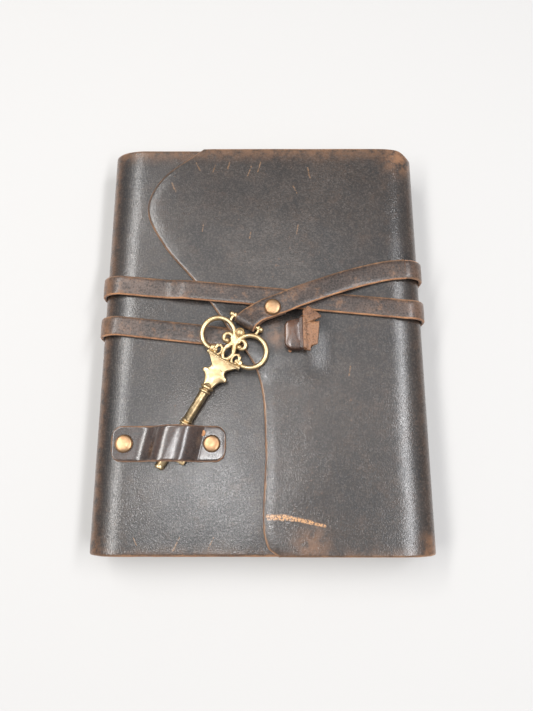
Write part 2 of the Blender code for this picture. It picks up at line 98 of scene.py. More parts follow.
class Nodes:
    """A material's node tree with short calls for the nodes used here."""

    def __init__(self, name):
        self.material = bpy.data.materials.new(name)
        self.material.use_nodes = True
        self.tree = self.material.node_tree
        self.shader = self.tree.nodes["Principled BSDF"]

    def put(self, socket, value):
        if isinstance(value, bpy.types.NodeSocket):
            self.tree.links.new(value, socket)
        else:
            socket.default_value = value

    def add(self, kind, output=0, settings=None, **inputs):
        node = self.tree.nodes.new(kind)
        for key, value in (settings or {}).items():
            setattr(node, key, value)
        for key, value in inputs.items():
            index = int(key[1:]) if key[0] == "i" and key[1:].isdigit() else key.replace("_", " ")
            self.put(node.inputs[index], value)
        return node.outputs[output]

    def place(self):
        """Where a point is when the book is shut, in metres, so that wear stays put as a piece moves."""
        return self.add("ShaderNodeAttribute", "Vector", {"attribute_name": "rest"})

    def noise(self, scale, detail=4.0, roughness=0.55, vector=None):
        inputs = {"Vector": vector or self.place(), "Scale": scale, "Detail": detail}
        return self.add("ShaderNodeTexNoise", 0, None, Roughness=roughness, **inputs)

    def cells(self, scale, feature):
        return self.add("ShaderNodeTexVoronoi", 0, {"feature": feature}, Vector=self.place(), Scale=scale)

    def math(self, operation, a, b=0.5):
        return self.add("ShaderNodeMath", 0, {"operation": operation}, i0=a, i1=b, i2=0.0)

    def times(self, a, b):
        return self.math("MULTIPLY", a, b)

    def plus(self, a, b):
        return self.math("ADD", a, b)

    def minus(self, a, b):
        return self.math("SUBTRACT", a, b)

    def most(self, a, b):
        return self.math("MAXIMUM", a, b)

    def ramp(self, value, low, high):
        """0 below low and 1 above high, smooth between."""
        settings = {"interpolation_type": "SMOOTHSTEP"}
        return self.add("ShaderNodeMapRange", 0, settings, i0=value, i1=low, i2=high, i3=0.0, i4=1.0)

    def blend(self, share, a, b):
        node = self.tree.nodes.new("ShaderNodeMix")
        node.data_type = "RGBA"
        self.put(node.inputs[0], share)
        self.put(node.inputs[6], a)
        self.put(node.inputs[7], b)
        return node.outputs[2]

    def attribute(self, name):
        return self.add("ShaderNodeAttribute", "Fac", {"attribute_name": name})

    def bump(self, height, strength, distance, normal=None):
        inputs = {"Strength": strength, "Distance": distance, "Height": height}
        if normal is not None:
            inputs["Normal"] = normal
        return self.add("ShaderNodeBump", 0, None, **inputs)

    def set(self, **inputs):
        for key, value in inputs.items():
            self.put(self.shader.inputs[key.replace("_", " ")], value)
        return self.material


def rgb(r, g, b):
    """A colour given as sRGB shares of 255, as a linear RGBA."""
    return tuple(((v / 255 + 0.055) / 1.055) ** 2.4 if v > 10 else v / 3294 for v in (r, g, b)) + (1.0,)


def leather(name, dark, light, worn, raw, grain=1.0, rough=0.45, edge=1.6, mottle=0.4, coat=0.3, marks=()):
    """Oiled leather: pull-up colour in clouds, pebbled grain with a painted sheen on its raised tops and
    painted shade in its pits, rubbed folds, worn edges and scuffs.
    """
    n = Nodes(name)
    cloud = n.plus(n.times(n.noise(42.0, 6.0, 0.65), 0.6), n.times(n.noise(13.0), 0.4))
    colour = n.blend(n.ramp(cloud, 0.38, 0.64), dark, light)
    pore = n.noise(1150.0, 2.5, 0.6)
    # Painted sheen: the grain's raised tops are lightened towards grey, standing in for the speckled
    # reflection of the lamps.
    pale = n.times(n.ramp(pore, 0.50, 0.64), 0.36)
    colour = n.blend(pale, colour, n.blend(0.06, rgb(88, 83, 80), worn))
    # Painted shade: the grain's low pits are darkened almost to black, as if shade falls in them.
    pit_shade = n.minus(1.0, n.ramp(pore, 0.34, 0.50))
    colour = n.blend(n.times(pit_shade, 0.75), colour, rgb(12, 10, 9))
    fleck = n.times(n.ramp(n.noise(520.0, 4.0, 0.75), 0.60, 0.74), n.ramp(n.noise(34.0), 0.42, 0.66))
    patch = n.times(n.ramp(n.noise(150.0, 7.0, 0.74), 0.50, 0.68), mottle)
    scuff = n.most(patch, n.times(fleck, 0.7))
    colour = n.blend(n.times(scuff, 0.75), colour, worn)
    rubbed = n.times(n.attribute("rubbed"), n.ramp(n.noise(230.0, 6.0, 0.7), 0.30, 0.62))
    colour = n.blend(rubbed, colour, worn)
    ragged = n.plus(n.attribute("edge_mm"), n.times(n.noise(420.0, 5.0, 0.7), -1.6))
    wear = n.minus(1.0, n.ramp(ragged, -0.9, edge - 0.8))
    wear = n.times(wear, n.add("ShaderNodeMapRange", 0, None, i0=n.noise(65.0), i1=0.4, i2=0.6, i3=0.3))
    colour = n.blend(n.times(wear, 0.8), colour, n.blend(0.35, worn, raw))
    for mark in marks:
        share = 0.9 if mark[2] > 0.9 else 0.3
        colour = n.blend(n.times(stroke(n, *mark), share), colour, raw)
    pebble = n.cells(980.0, "DISTANCE_TO_EDGE")
    crease = n.ramp(pebble, 0.0, 0.22)
    fine = n.noise(2300.0, 3.0, 0.6)
    height = n.plus(n.times(crease, 0.55), n.times(fine, 0.2))
    height = n.plus(height, n.times(pore, 0.6))
    normal = n.bump(n.noise(75.0, 3.0), 0.18, 0.0008)
    normal = n.bump(height, min(1.0, 0.8 * grain), 0.00004, normal)
    shine = n.add("ShaderNodeMapRange", 0, None, i0=cloud, i1=0.35, i2=0.65, i3=rough + 0.05, i4=rough - 0.07)
    shine = n.plus(shine, n.times(n.most(n.most(wear, scuff), pit_shade), 0.18))
    n.set(Coat_Weight=coat, Coat_Roughness=0.2, Coat_Normal=normal)
    return n.set(Base_Color=colour, Roughness=shine, Normal=normal, Specular_IOR_Level=0.5)


def stroke(n, start, end, width, low, high):
    """A scratch from start to end in the XY plane, all in millimetres, on what lies between two heights."""
    a, b = Vector((*start, 0)) * MM, Vector((*end, 0)) * MM
    along = b - a
    turn = (0, 0, math.atan2(along.y, along.x))
    bent = n.add("ShaderNodeTexNoise", 1, None, Vector=n.place(), Scale=300.0, Detail=4.0)
    shift = n.add("ShaderNodeVectorMath", 0, {"operation": "SCALE"}, i0=bent, Scale=width * MM * 0.9)
    moved = n.add("ShaderNodeVectorMath", 0, {"operation": "ADD"}, i0=n.place(), i1=shift)
    middle = (a + b) / 2 + Vector((1, 1, 1)) * width * MM * 0.45
    settings = {"vector_type": "TEXTURE"}
    local = n.add("ShaderNodeMapping", 0, settings, Vector=moved, Location=middle, Rotation=turn)
    parts = n.tree.nodes.new("ShaderNodeSeparateXYZ")
    n.put(parts.inputs[0], local)
    beyond = n.most(n.minus(n.math("ABSOLUTE", parts.outputs[0]), along.length / 2), 0.0)
    off = n.add("ShaderNodeCombineXYZ", 0, None, X=beyond, Y=parts.outputs[1])
    away = n.add("ShaderNodeVectorMath", "Value", {"operation": "LENGTH"}, i0=off)
    line = n.minus(1.0, n.ramp(away, width * MM * 0.3, width * MM * 0.6))
    z = n.add("ShaderNodeSeparateXYZ", 2, None, Vector=n.place())
    level = n.times(n.math("GREATER_THAN", z, low * MM), n.math("LESS_THAN", z, high * MM))
    patchy = n.ramp(n.noise(1300.0, 3.0, 0.7), 0.40, 0.54)
    return n.times(n.times(line, level), patchy)


def raw_edge(name, pale, deep):
    """A cut edge or the flesh side: fibrous tan leather with no gloss."""
    n = Nodes(name)
    stretched = n.add("ShaderNodeMapping", 0, None, Vector=n.place(), Scale=(1.0, 1.0, 2.5))
    fibre = n.noise(1400.0, 6.0, 0.75, stretched)
    patch = n.noise(180.0, 4.0, 0.6)
    share = n.plus(n.times(fibre, 0.5), n.times(patch, 0.5))
    colour = n.blend(n.ramp(share, 0.36, 0.64), deep, pale)
    normal = n.bump(fibre, 0.8, 0.0002)
    return n.set(Base_Color=colour, Roughness=0.86, Normal=normal, Sheen_Weight=0.2, Sheen_Roughness=0.6)


def brass(name, bright, dull, dark, rough):
    """Antique brass: warm metal, dulled in patches and dark in its recesses."""
    n = Nodes(name)
    geometry = n.tree.nodes.new("ShaderNodeNewGeometry")
    hollow = n.minus(1.0, n.ramp(geometry.outputs["Pointiness"], 0.42, 0.505))
    patch = n.ramp(n.noise(260.0, 5.0, 0.65), 0.38, 0.66)
    colour = n.blend(patch, bright, dull)
    grime = n.times(hollow, n.ramp(n.noise(700.0, 4.0), 0.25, 0.6))
    colour = n.blend(n.times(grime, 0.85), colour, dark)
    shine = n.add("ShaderNodeMapRange", 0, None, i0=patch, i1=0.0, i2=1.0, i3=rough, i4=rough + 0.14)
    normal = n.bump(n.noise(900.0, 4.0, 0.7), 0.18, 0.00008)
    return n.set(Base_Color=colour, Metallic=1.0, Roughness=shine, Normal=normal)


def paper(name):
    """Cream uncoated paper, a little darker and streaked along its cut edges."""
    n = Nodes(name)
    streaks = n.add("ShaderNodeMapping", 0, None, Vector=n.place(), Scale=(1.0, 1.0, 30.0))
    lines = n.noise(220.0, 3.0, 0.6, streaks)
    cloud = n.noise(30.0, 4.0)
    share = n.plus(n.times(lines, 0.55), n.times(cloud, 0.45))
    colour = n.blend(n.ramp(share, 0.35, 0.65), rgb(196, 178, 142), rgb(228, 215, 186))
    normal = n.bump(n.noise(1500.0, 4.0), 0.25, 0.00006)
    return n.set(Base_Color=colour, Roughness=0.88, Normal=normal)


def thread(name):
    n = Nodes(name)
    place = n.add("ShaderNodeTexCoord", "Object")
    twist = n.add("ShaderNodeTexWave", "Fac", {"bands_direction": "DIAGONAL"}, Vector=place, Scale=700.0)
    colour = n.blend(twist, rgb(150, 128, 92), rgb(205, 186, 148))
    return n.set(Base_Color=colour, Roughness=0.75, Normal=n.bump(twist, 0.6, 0.0001))


ON_TOP = (23.6, 40.0)
ON_COVER = (21.5, 23.4)
SCRATCH_LEFT = 3
SCRATCH_LENGTH = 25
SCRATCH_ABOVE_TAIL = 17
SCRATCH_FALL = 4
SCRATCH_STEPS = 4
HEAD_SCUFFS = 8
FLAP_SCUFFS = 4
TAIL_SCUFFS = 3


def scuff(dice, x, y, heights):
    """One short rubbed line from a place, leaning up to half its length either way."""
    length = dice.uniform(3, 6)
    lean = dice.uniform(-0.5, 0.5) * length
    return ((x, y), (x + lean, y - length), dice.uniform(0.5, 0.8), *heights)


def scratch_place(share):
    """A place on the long scratch, a shallow arc that falls to the right."""
    return SCRATCH_LEFT + SCRATCH_LENGTH * share, SCRATCH_ABOVE_TAIL - HALF_HEIGHT - SCRATCH_FALL * share**2


def hide_marks():
    """The long scratch at the flap's tail, and small scuffs spread along the head, the flap and the tail."""
    dice = random.Random(5)
    marks = []
    for n in range(SCRATCH_STEPS):
        start, end = n / SCRATCH_STEPS, (n + 1) / SCRATCH_STEPS
        marks.append((scratch_place(start), scratch_place(end), 2.8 - 1.8 * start, *ON_TOP))
    for n in range(HEAD_SCUFFS):
        x = -48 + 10 * n + dice.uniform(-4, 4)
        marks.append(scuff(dice, x, HALF_HEIGHT - dice.uniform(8, 24), ON_TOP))
    for n in range(FLAP_SCUFFS):
        marks.append(scuff(dice, -30 + 24 * n, 58 - 30 * n * dice.random(), ON_TOP))
    for n in range(TAIL_SCUFFS):
        marks.append(scuff(dice, -60 + 20 * n + dice.uniform(-6, 6), 8 - HALF_HEIGHT, ON_COVER))
    return marks


def make_materials():
    raw = rgb(196, 146, 98)
    worn = rgb(136, 98, 70)
    mats = {}
    looks = {"grain": 1.0, "rough": 0.31, "edge": 1.1, "mottle": 0.08, "coat": 0.6, "marks": hide_marks()}
    mats["hide"] = leather("hide", rgb(22, 18, 17), rgb(56, 48, 43), worn, raw, **looks)
    looks = {"grain": 0.7, "rough": 0.41, "edge": 1.0, "mottle": 0.5, "coat": 0.3}
    tan = rgb(156, 112, 78)
    mats["strap"] = leather("strap_leather", rgb(46, 34, 28), rgb(92, 71, 59), tan, raw, **looks)
    looks = {"grain": 0.35, "rough": 0.28, "edge": 1.6, "mottle": 0.3, "coat": 0.7}
    tan = rgb(150, 98, 58)
    mats["knot"] = leather("knot_leather", rgb(40, 24, 16), rgb(92, 56, 34), tan, raw, **looks)
    looks = {"grain": 0.6, "rough": 0.5, "edge": 1.6, "mottle": 0.5, "coat": 0.1}
    tan = rgb(198, 146, 100)
    mats["tan"] = leather("knot_end_leather", rgb(108, 70, 44), rgb(168, 118, 78), tan, raw, **looks)
    looks = {"grain": 0.3, "rough": 0.26, "edge": 0.8, "mottle": 0.12, "coat": 0.9}
    tan = rgb(120, 80, 56)
    mats["holder"] = leather("holder_leather", rgb(38, 29, 27), rgb(72, 56, 50), tan, raw, **looks)
    mats["raw"] = raw_edge("raw_edge", rgb(186, 132, 88), rgb(112, 70, 42))
    mats["flesh"] = raw_edge("flesh_side", rgb(120, 90, 70), rgb(78, 56, 44))
    mats["brass"] = brass("brass", rgb(214, 190, 150), rgb(182, 156, 116), rgb(40, 27, 14), 0.33)
    mats["rivet"] = brass("rivet_brass", rgb(190, 154, 118), rgb(166, 128, 94), rgb(84, 58, 38), 0.36)
    mats["paper"] = paper("paper")
    mats["thread"] = thread("thread")
    return mats


MATS = make_materials()
HIDE_MATS = [MATS["hide"], MATS["raw"], MATS["flesh"]]


# Mesh helpers


def near(x, y, centre, reach):
    return smooth(1 - math.hypot(x - centre[0], y - centre[1]) / reach)


def rubbed_share(x, y, z):
    """How far the dark finish is rubbed off: at the folds, the head and tail, and the corners."""
    side = (0.5 if x < 0 else 0.15) * smooth((abs(x) - FOLD_X - 2.0) / 5.0)
    head = 0.6 * smooth((y - HALF_HEIGHT + 10.0) / 11.0) if z > 12 else 0.3
    tail = 0.3 * smooth((-y - HALF_HEIGHT + 6.0) / 7.0)
    share = max(side, head, tail) if abs(y) > HALF_HEIGHT - 10 or abs(x) > FOLD_X else 0.0
    corner = max(near(x, y, (72, 98), 16), 0.8 * near(x, y, (77, -99), 12), 0.6 * near(x, y, (-77, -99), 12))
    return min(1.0, max(share, corner, 0.6 * near(x, y, (7, -1), 9), 0.55 * near(x, y, (22, -97), 14)))


def finish_mesh(name, verts, faces, materials, indices=None, edge_mm=None, sharp=40.0):
    """An object from millimetre points, with its material per face and its distance to a cut edge."""
    mesh = bpy.data.meshes.new(name)
    mesh.from_pydata([tuple(Vector(v) * MM) for v in verts], [], faces)
    for mat in materials:
        mesh.materials.append(mat)
    if indices:
        mesh.polygons.foreach_set("material_index", indices)
    attribute = mesh.attributes.new("edge_mm", "FLOAT", "POINT")
    attribute.data.foreach_set("value", edge_mm or [99.0] * len(verts))
    attribute = mesh.attributes.new("rubbed", "FLOAT", "POINT")
    attribute.data.foreach_set("value", [rubbed_share(*v) for v in verts])
    attribute = mesh.attributes.new("rest", "FLOAT_VECTOR", "POINT")
    attribute.data.foreach_set("vector", [c * MM for v in verts for c in v])
    bm = bmesh.new()
    bm.from_mesh(mesh)
    bmesh.ops.recalc_face_normals(bm, faces=bm.faces)
    bm.to_mesh(mesh)
    bm.free()
    mesh.shade_smooth()
    mesh.set_sharp_from_angle(angle=math.radians(sharp))
    ob = bpy.data.objects.new(name, mesh)
    bpy.context.scene.collection.objects.link(ob)
    return ob


def smooth(t):
    t = min(max(t, 0.0), 1.0)
    return t * t * (3 - 2 * t)


def arc(centre, radius, start, end, steps):
    angles = [math.radians(start + (end - start) * i / steps) for i in range(steps + 1)]
    return [(centre[0] + radius * math.cos(a), centre[1] + radius * math.sin(a)) for a in angles]


def curve_through(points, t):
    """A smooth curve through (place, value) pairs, read at place t."""
    i = 0
    while i < len(points) - 2 and t > points[i + 1][0]:
        i += 1
    (t0, a), (t1, b) = points[i], points[i + 1]

    def slope(k):
        low, high = points[max(k - 1, 0)], points[min(k + 1, len(points) - 1)]
        return (high[1] - low[1]) / (high[0] - low[0])

    w, span = (t - t0) / (t1 - t0), t1 - t0
    start = a * (1 + 2 * w) * (1 - w) ** 2 + slope(i) * span * w * (1 - w) ** 2
    return start + b * w * w * (3 - 2 * w) - slope(i + 1) * span * w * w * (1 - w)


def even_curve(route, spacing):
    """Points about spacing apart on a smooth curve through a route of vectors."""
    places = [0.0]
    for a, b in zip(route, route[1:]):
        places.append(places[-1] + (b - a).length)
    count = max(2, round(places[-1] / spacing))
    axes = [[(p, v[k]) for p, v in zip(places, route)] for k in range(3)]
    stops = [places[-1] * i / count for i in range(count + 1)]
    return [Vector([curve_through(axis, s) for axis in axes]) for s in stops]


def sheet(name, outer, normals, thickness, edges, materials):
    """A leather sheet from its outer face: its inner face, and a rounded cut edge all round.

    outer and normals are rows of points, and edges says how far each is from a cut edge.
    """
    rows, columns = len(outer), len(outer[0])
    verts, distance = [], []
    for depth in (0.0, thickness):
        for r in range(rows):
            for c in range(columns):
                near = max(0.0, 1 - edges[r][c] / 0.9)
                shrink = 0.35 * near * near * (1 if depth == 0 else -1)
                verts.append(outer[r][c] - normals[r][c] * (depth + shrink))
                distance.append(edges[r][c])
    faces, indices = [], []
    count = rows * columns
    for r in range(rows - 1):
        for c in range(columns - 1):
            a, b = r * columns + c, (r + 1) * columns + c
            faces.append((a, b, b + 1, a + 1))
            faces.append((a + count, a + 1 + count, b + 1 + count, b + count))
            indices += [0, 2]
    rim = [(0, c) for c in range(columns)] + [(r, columns - 1) for r in range(1, rows)]
    rim += [(rows - 1, c) for c in range(columns - 2, -1, -1)] + [(r, 0) for r in range(rows - 2, 0, -1)]
    middle = []
    for r, c in rim:
        inward = outer[min(max(r, 1), rows - 2)][min(max(c, 1), columns - 2)] - outer[r][c]
        fray = 0.10 * noise.noise(outer[r][c] * 0.9)
        bulge = -inward.normalized() * (0.22 + fray)
        middle.append(len(verts))
        verts.append(outer[r][c] - normals[r][c] * thickness / 2 + bulge)
        distance.append(0.0)
    for i, (r, c) in enumerate(rim):
        k = (i + 1) % len(rim)
        a, b = r * columns + c, rim[k][0] * columns + rim[k][1]
        faces.append((a, b, middle[k], middle[i]))
        faces.append((middle[i], middle[k], b + count, a + count))
        indices += [1, 1]
    return finish_mesh(name, verts, faces, materials, indices, distance, 50.0)


def skin(rings, count):
    """Faces that join rings of points one after another and close both ends."""
    faces = []
    for r in range(rings - 1):
        for j in range(count):
            k = (j + 1) % count
            a, b = r * count, (r + 1) * count
            faces.append((a + j, a + k, b + k, b + j))
    faces.append(tuple(reversed(range(count))))
    faces.append(tuple(range((rings - 1) * count, rings * count)))
    return faces


def ribbon(name, points, normals, width, thickness, materials, ways=None):
    """A strap: a flat strip with a slightly crowned face, rounded corners and raw cut edges."""
    half, lift = width / 2, thickness / 2
    shape = [(-half, -lift * 0.55), (-half + 0.35, -lift), (-half * 0.5, -lift), (0.0, -lift)]
    shape += [(half * 0.5, -lift), (half - 0.35, -lift), (half, -lift * 0.55), (half + 0.08, 0.0)]
    shape += [(half, lift * 0.5), (half - 0.45, lift * 0.93), (half * 0.55, lift), (0.0, lift * 1.06)]
    shape += [(-half * 0.55, lift), (-half + 0.45, lift * 0.93), (-half, lift * 0.5), (-half - 0.08, 0.0)]
    raw_sides = {0, 6, 7, 8, 14, 15}
    count = len(shape)
    verts, distance, length = [], [], 0.0
    for i, point in enumerate(points):
        along = (points[min(i + 1, len(points) - 1)] - points[max(i - 1, 0)]).normalized()
        across = normals[i].cross(along).normalized()
        up = along.cross(across)
        if ways and ways[i]:
            across = ways[i]
        length += (point - points[max(i - 1, 0)]).length
        for u, v in shape:
            fray = 0.12 * noise.noise(Vector((length * 0.55, u, 3.0))) if abs(u) > half - 0.5 else 0.0
            verts.append(point + across * (u + math.copysign(fray, u)) + up * v)
            distance.append(half - abs(u))
    sides = [1 if j in raw_sides else (2 if 1 <= j <= 5 else 0) for j in range(count)]
    indices = sides * (len(points) - 1) + [1, 1]
    return finish_mesh(name, verts, skin(len(points), count), materials, indices, distance, 50.0)


# The hide


def unevenness(x, y):
    """The gentle waves of a used hide."""
    low = noise.noise(Vector((x * 0.022, y * 0.022, 1.7)))
    return 0.22 * (low + 0.5 * noise.noise(Vector((x * 0.06, y * 0.06, 5.1))) - 0.75)


FOLD_START = FOLD_X - 9.0


def fold_profile(side, top):
    """Points and outward normals round one side of the book, from its back up to its slowly rounded top."""
    points, normals, steps = [], [], 14
    wide, high = FOLD_X + FOLD_RADIUS - FOLD_START, FOLD_RADIUS
    for centre, level, reach, start, end in (
        (FOLD_X, BACK_LOW[2] + high, high, -90, 0),
        (FOLD_START, top - high, wide, 0, 90),
    ):
        for i in range(steps + 1):
            a = math.radians(start + (end - start) * i / steps)
            points.append(Vector((side * (centre + reach * math.cos(a)), 0, level + high * math.sin(a))))
            normals.append(Vector((side * math.cos(a) / reach, 0, math.sin(a) / high)).normalized())
    return points, normals


def corner_inset(x, y):
    """How far a fold's head and tail ends draw in, so that its corners look rounded from above."""
    size = 3.4 if x > 0 and y > 0 else 0.2
    return size * smooth((abs(x) - FOLD_X + 2.0) / 10.5) ** 2


def lay_rows(profile, normals, ys, height_offset, edge_of):
    outer, outs, edges = [], [], []
    for y in ys:
        row, ways, gaps = [], [], []
        for point, out in zip(profile, normals):
            limit = HALF_HEIGHT - corner_inset(point.x, y)
            place = Vector((point.x, y * limit / HALF_HEIGHT, point.z))
            row.append(place + out * height_offset(place, out))
            ways.append(out)
            gaps.append(min(limit - abs(place.y), edge_of(place)))
        outer.append(row)
        outs.append(ways)
        edges.append(gaps)
    return outer, outs, edges


def row_places(spacing=2.0):
    """Values of Y from the tail to the head, closer together near both cut edges."""
    inner = HALF_HEIGHT - 4.0
    count = round(2 * inner / spacing)
    ends = [0.0, 0.3, 0.7, 1.2, 2.0, 3.0]
    ys = [-HALF_HEIGHT + e for e in ends] + [-inner + 2 * inner * i / count for i in range(count + 1)]
    return ys + [HALF_HEIGHT - e for e in reversed(ends)]


def make_back():
    steps = 34
    profile = [Vector((-FOLD_X + 2 * FOLD_X * i / steps, 0, BACK_LOW[2])) for i in range(steps + 1)]
    normals = [Vector((0, 0, -1))] * len(profile)
    rows = lay_rows(profile, normals, row_places(4.0), lambda p, n: 0.0, lambda p: 99.0)
    back = sheet("hide_back", rows[0], rows[1], LEATHER, rows[2], HIDE_MATS)
    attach(back, "book")
    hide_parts("back_cover")


def make_front():
    """The spine fold and the front cover as one sheet that bends at the spine."""
    points, normals = fold_profile(-1, FRONT_HIGH[2])
    right, steps = FOLD_X - 3.8, 64
    for i in range(1, steps + 1):
        points.append(Vector((-FOLD_START + (right + FOLD_START) * i / steps, 0, FRONT_HIGH[2])))
        normals.append(Vector((0, 0, 1)))

    def wave(p, n):
        return unevenness(p.x, p.y) * smooth((n.z - 0.2) / 0.8)

    def edge(p):
        return right - p.x if p.z > 20 else 99.0

    rows = lay_rows(points, normals, row_places(), wave, edge)
    front = sheet("hide_front", rows[0], rows[1], LEATHER, rows[2], HIDE_MATS)
    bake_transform(front)
    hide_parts("spine", "front_cover")


# The flap's free edge from the tail to the head, as (y, x)
FREE_EDGE = (
    (-101.5, 7.7),
    (-98.0, 3.0),
    (-88.0, 0.7),
    (-53.0, 1.7),
    (-19.0, -2.0),
    (4.0, -17.0),
    (27.0, -33.0),
    (46.0, -49.0),
    (66.0, -58.6),
    (84.0, -52.0),
    (101.5, -31.0),
)


def first_run_y(x):
    along = (SLIT.x - x) / (SLIT.x + FOLD_X)
    return SLIT.y + (FIRST_LEFT_Y - SLIT.y) * along


def flap_rise(x, y):
    """The flap is raised where the strap's first run passes under it."""
    across = 1 - smooth((x - 19.0) / 16.0)
    beside = 1 - smooth((abs(y - first_run_y(x)) - 5.5) / 16.0)
    return (STRAP + GAP) * across * beside


def make_flap():
    """The fore edge fold and the flap as one sheet that bends at the fold."""
    fold, fold_normals = fold_profile(1, FORE_HIGH[2])
    steps = 62
    outer, outs, edges = [], [], []
    for y in row_places(1.9):
        row, ways, gaps = [], [], []
        for point, out in zip(fold, fold_normals):
            limit = HALF_HEIGHT - corner_inset(point.x, y)
            place = Vector((point.x, y * limit / HALF_HEIGHT, point.z))
            row.append(place + out * unevenness(place.x, place.y) * smooth((out.z - 0.2) / 0.8))
            ways.append(out)
            gaps.append(limit - abs(place.y))
        free = curve_through(FREE_EDGE, y)
        above, below = min(y + 1, FREE_EDGE[-1][0]), max(y - 1, FREE_EDGE[0][0])
        slope = (curve_through(FREE_EDGE, above) - curve_through(FREE_EDGE, below)) / 2
        lean = 1 / math.sqrt(1 + slope * slope)
        for i in range(1, steps + 1):
            share = i / steps
            share = 1 - (1 - share) ** 1.18
            x = FOLD_START + (free - FOLD_START) * share
            droop = 0.25 * (1 - smooth((x - free) * lean / 5.0))
            z = FORE_HIGH[2] + flap_rise(x, y) + unevenness(x, y) - droop
            row.append(Vector((x, y, z)))
            ways.append(Vector((0, 0, 1)))
            gaps.append(min((x - free) * lean, HALF_HEIGHT - abs(y)))
        outer.append(row)
        outs.append(ways)
        edges.append(gaps)
    flap = sheet("hide_flap", outer, outs, LEATHER, edges, HIDE_MATS)
    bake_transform(flap)
    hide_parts("fore_edge", "flap")


# The strap


def turn_path(side, y, top):
    steps = 12
    radius = FOLD_RADIUS + GAP + STRAP / 2
    high, low = top - STRAP / 2 - GAP - FOLD_RADIUS, BACK_LOW[2] + FOLD_RADIUS
    points, normals = [], []
    for centre, start, end in ((high, 90, 0), (low, 0, -90)):
        for i in range(steps + 1):
            a = math.radians(start + (end - start) * i / steps)
            out = Vector((side * math.cos(a), 0, math.sin(a)))
            points.append(Vector((side * FOLD_X, y, centre)) + out * radius)
            normals.append(out)
    return points, normals


STRAP_MATS = [MATS["strap"], MATS["raw"], MATS["flesh"]]
UP = Vector((0, 0, 1))


def make_strap_start():
    bend = STRAP / 2 + 0.4
    points, normals = [Vector((SLIT.x, SLIT.y, ON_FLAP + 1.6))], [Vector((-1, 0, 0))]
    for x, z in arc((SLIT.x - bend, ON_FRONT + bend), bend, 0, -90, 6):
        points.append(Vector((x, SLIT.y, z)))
        normals.append(Vector((SLIT.x - bend - x, 0, ON_FRONT + bend - z)).normalized())
    steps = 40
    for i in range(1, steps):
        x = SLIT.x - bend - (SLIT.x - bend + FOLD_X) * i / steps
        points.append(Vector((x, first_run_y(x), ON_FRONT)))
        normals.append(UP)
    turned = turn_path(-1, FIRST_LEFT_Y, ON_FRONT)
    points, normals = points + turned[0], normals + turned[1]
    strap = ribbon("wrap_strap_start", points, normals, STRAP_WIDTH, STRAP, STRAP_MATS)
    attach(strap, "flap")
    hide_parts("strap_start")


def second_run_height(x):
    return ON_FLAP + (ON_FRONT - ON_FLAP) * smooth((-37.0 - x) / 11.0)


def make_strap_middle():
    """Round the fore edge, over the flap and round the spine, in one piece."""
    right = turn_path(1, FIRST_RIGHT_Y, ON_FLAP)
    points, normals = right[0][::-1], right[1][::-1]
    steps = 70
    for i in range(1, steps):
        x = FOLD_X - 2 * FOLD_X * i / steps
        y = FIRST_RIGHT_Y + (SECOND_LEFT_Y - FIRST_RIGHT_Y) * i / steps
        points.append(Vector((x, y, second_run_height(x))))
        normals.append(UP)
    left = turn_path(-1, SECOND_LEFT_Y, ON_FRONT)
    strap = ribbon("wrap_strap_middle", points + left[0], normals + left[1], STRAP_WIDTH, STRAP, STRAP_MATS)
    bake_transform(strap)
    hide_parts("strap_middle", "strap_turn_lower")


def make_strap_turn_upper():
    points, normals = turn_path(1, SECOND_RIGHT_Y, ON_FLAP)
    strap = ribbon("wrap_strap_turn", points, normals, STRAP_WIDTH, STRAP, STRAP_MATS)
    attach(strap, "fore_edge")
    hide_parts("strap_turn_upper")


def make_strap_backs():
    for node, left, right in (
        ("strap_back_lower", FIRST_LEFT_Y, FIRST_RIGHT_Y),
        ("strap_back_upper", SECOND_LEFT_Y, SECOND_RIGHT_Y),
    ):
        steps = 40
        end = FOLD_X - 0.3
        xs = [-end + 2 * end * i / steps for i in range(steps + 1)]
        points = [Vector((x, left + (right - left) * (x + end) / (2 * end), STRAP / 2)) for x in xs]
        strap = ribbon(f"wrap_{node}", points, [-UP] * len(points), STRAP_WIDTH, STRAP * 0.94, STRAP_MATS)
        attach(strap, "book")
        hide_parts(node)


def loop_line():
    """The key's bar and its upward way, and how far along it and aside the loop starts."""
    turn = Matrix.Rotation(math.radians(KEY_TURN), 2)
    bar, way = turn @ Vector((1, 0)), turn @ Vector((0, 1))
    start = LOOP_START - KEY_BAR.xy
    return bar, way, start.dot(way), start.dot(bar)


def loop_place(q):
    """The point at a distance along the loop, which bends to meet the bar squarely, and the way across."""
    bar, way, reach, aside = loop_line()
    heading = -(LOOP_START - KEY_BAR.xy).normalized()
    square = Vector((-heading.y, heading.x))
    turn = smooth((q - 5.5) / (reach - 8.5))
    across = square * (1 - turn) + bar * turn * LOOP_TAPER
    return KEY_BAR.xy + way * (reach - q) + bar * aside * max(1 - q / reach, 0.0) ** 1.5, across


